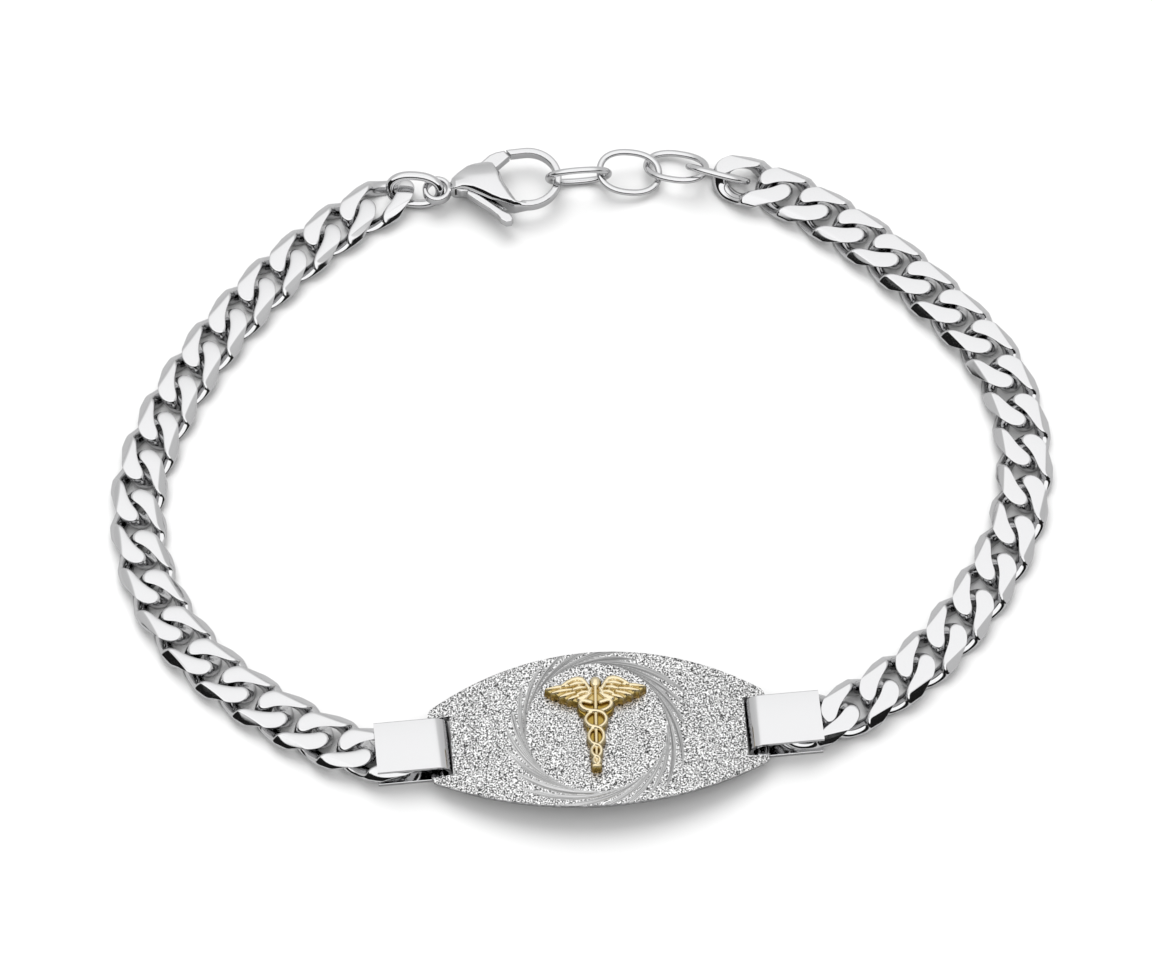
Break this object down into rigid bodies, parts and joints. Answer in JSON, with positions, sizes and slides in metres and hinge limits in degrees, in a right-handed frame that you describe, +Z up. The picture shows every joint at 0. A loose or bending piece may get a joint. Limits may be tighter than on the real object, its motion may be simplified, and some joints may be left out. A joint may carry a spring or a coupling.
{
  "type": "medical alert bracelet",
  "caption": "Medical alert bracelet: arched oval plate with a raised emblem, folded strap loops, filed curb chain, oval extender links, jump ring and lobster clasp, closed.",
  "frame": {"origin": "middle of the box's underside, on the surface the bracelet lies on", "axes": "+X to the right as pictured, along the box's longest side; +Y from the plate towards the clasp; +Z up"},
  "size_m": [0.0772, 0.062, 0.0043],
  "materials": {
    "plate_steel": "fine frosted stipple, with smooth engraved arcs",
    "link_steel": "polished steel",
    "gold_emblem": "pale gold-coloured casting, darker in its recesses"
  },
  "bodies": {
    "bracelet": {"id_plate": "plate_steel", "caduceus_emblem": "gold_emblem", "strap_loop_left": "link_steel", "strap_loop_right": "link_steel", "curb_link_left_1": "link_steel", "curb_link_left_2": "link_steel", "curb_link_left_3": "link_steel", "curb_link_left_4": "link_steel", "curb_link_left_5": "link_steel", "curb_link_left_6": "link_steel", "curb_link_left_7": "link_steel", "curb_link_left_8": "link_steel", "curb_link_left_9": "link_steel", "curb_link_left_10": "link_steel", "curb_link_left_11": "link_steel", "curb_link_left_12": "link_steel", "curb_link_left_13": "link_steel", "curb_link_left_14": "link_steel", "curb_link_left_15": "link_steel", "curb_link_left_16": "link_steel", "curb_link_left_17": "link_steel", "curb_link_left_18": "link_steel", "curb_link_left_19": "link_steel", "curb_link_right_1": "link_steel", "curb_link_right_2": "link_steel", "curb_link_right_3": "link_steel", "curb_link_right_4": "link_steel", "curb_link_right_5": "link_steel", "curb_link_right_6": "link_steel", "curb_link_right_7": "link_steel", "curb_link_right_8": "link_steel", "curb_link_right_9": "link_steel", "curb_link_right_10": "link_steel", "curb_link_right_11": "link_steel", "curb_link_right_12": "link_steel", "curb_link_right_13": "link_steel", "curb_link_right_14": "link_steel", "curb_link_right_15": "link_steel", "curb_link_right_16": "link_steel", "curb_link_right_17": "link_steel", "curb_link_right_18": "link_steel", "curb_link_right_19": "link_steel", "jump_ring": "link_steel", "clasp_body": "link_steel", "extender_link_1": "link_steel", "extender_link_2": "link_steel", "extender_link_3": "link_steel", "extender_link_4": "link_steel"},
    "lever": {"clasp_lever": "link_steel"}
  },
  "joints": [
    {"name": "lever_pivot", "type": "hinge", "parent": "bracelet", "child": "lever", "pos_m": [-0.01004, 0.02685, 0.00175], "axis": [0, 0, -1], "range_deg": [0, 25], "stiffness_Nm_per_rad": 0.005, "springref_deg": -17.19}
  ]
}
